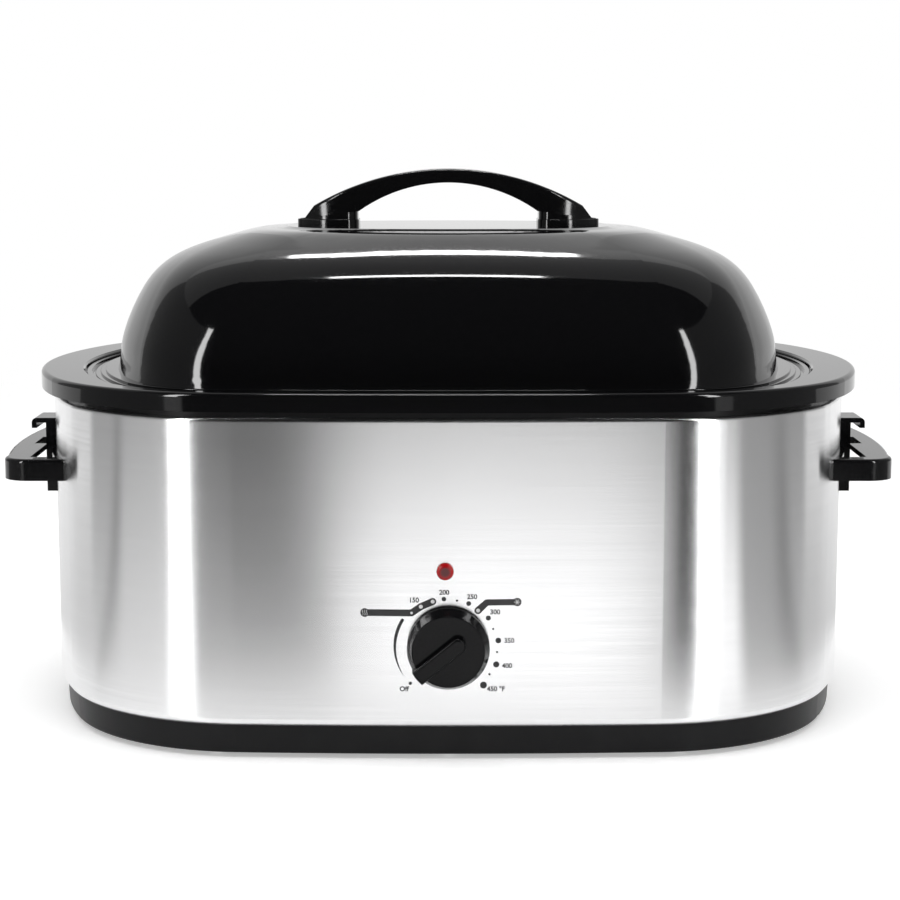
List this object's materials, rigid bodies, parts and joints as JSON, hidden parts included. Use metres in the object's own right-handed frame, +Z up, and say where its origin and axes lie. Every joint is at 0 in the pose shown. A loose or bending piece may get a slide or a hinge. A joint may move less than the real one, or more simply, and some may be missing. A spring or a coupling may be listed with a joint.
{
  "type": "electric roaster oven",
  "caption": "Countertop roaster oven: brushed steel body, black rim and base, loose domed lid with arched handle, lift-out pan and rack, one temperature knob.",
  "frame": {"origin": "plan centre of the body, on the surface that the feet stand on", "axes": "+X to the right seen from the front, +Y to the back, +Z up"},
  "size_m": [0.613, 0.4121, 0.3734],
  "materials": {
    "black_enamel": "glossy vitreous enamel, near black",
    "brushed_steel": "stainless steel brushed along its length",
    "black_plastic": "glossy heat-resistant moulding",
    "base_plastic": "satin black moulding",
    "plated_steel": "bright plated steel",
    "sheet_steel": "bare galvanised sheet",
    "rubber": "matt",
    "red_lens": "clear red moulding",
    "lamp_glass": "clear",
    "ceramic": "matt",
    "fibre": "woven glass fibre felt",
    "copper_tube": "drawn copper",
    "lead_sleeve": "silicone sleeve"
  },
  "bodies": {
    "oven": {"cooking_well": "black_enamel", "body_shell": "brushed_steel", "rim_spacer_ring": "base_plastic", "base_ring": "base_plastic", "base_plate": "sheet_steel", "base_screws": "plated_steel", "centre_stud": "plated_steel", "centre_stud_nut": "plated_steel", "centre_stud_spacer": "plated_steel", "heat_shield": "sheet_steel", "heating_band": "sheet_steel", "insulation_blanket": "fibre", "thermostat_body": "ceramic", "thermostat_bush_nut": "plated_steel", "thermostat_bulb": "copper_tube", "thermostat_capillary": "copper_tube", "bulb_clip": "plated_steel", "thermal_fuse": "ceramic", "fuse_clip": "plated_steel", "terminal_block": "ceramic", "heater_lead_live": "lead_sleeve", "heater_lead_neutral": "lead_sleeve", "control_lead_live": "lead_sleeve", "control_lead_neutral": "lead_sleeve", "cord_gland": "black_plastic", "cord_gland_nut": "black_plastic", "indicator_lens": "red_lens", "indicator_lamp": "lamp_glass", "indicator_clip": "plated_steel", "indicator_leads": "lead_sleeve", "side_handle_right": "black_plastic", "side_handle_left": "black_plastic", "side_handle_screws": "plated_steel", "foot_front_left": "rubber", "foot_front_right": "rubber", "foot_back_left": "rubber", "foot_back_right": "rubber"},
    "control_knob": {"knob": "black_plastic", "knob_clip": "plated_steel", "thermostat_shaft": "plated_steel"},
    "pan": {"roasting_pan": "black_enamel"},
    "rack": {"roasting_rack": "plated_steel"},
    "lid": {"lid_dome": "black_enamel", "lid_handle": "black_plastic", "lid_handle_collar_right": "black_plastic", "lid_handle_collar_left": "black_plastic", "lid_handle_screws": "plated_steel", "lid_handle_washers": "plated_steel"}
  },
  "joints": [
    {"name": "knob_turn", "type": "hinge", "parent": "oven", "child": "control_knob", "pos_m": [0, -0.2, 0.075], "axis": [0, 1, 0], "range_deg": [0, 270]},
    {"name": "pan_lift", "type": "slide", "parent": "oven", "child": "pan", "axis": [0, 0, 1], "range_m": [0, 0.2]},
    {"name": "rack_lift", "type": "slide", "parent": "pan", "child": "rack", "axis": [0, 0, 1], "range_m": [0, 0.2]},
    {"name": "lid_lift", "type": "slide", "parent": "rack", "child": "lid", "axis": [0, 0, 1], "range_m": [0, 0.15]}
  ]
}
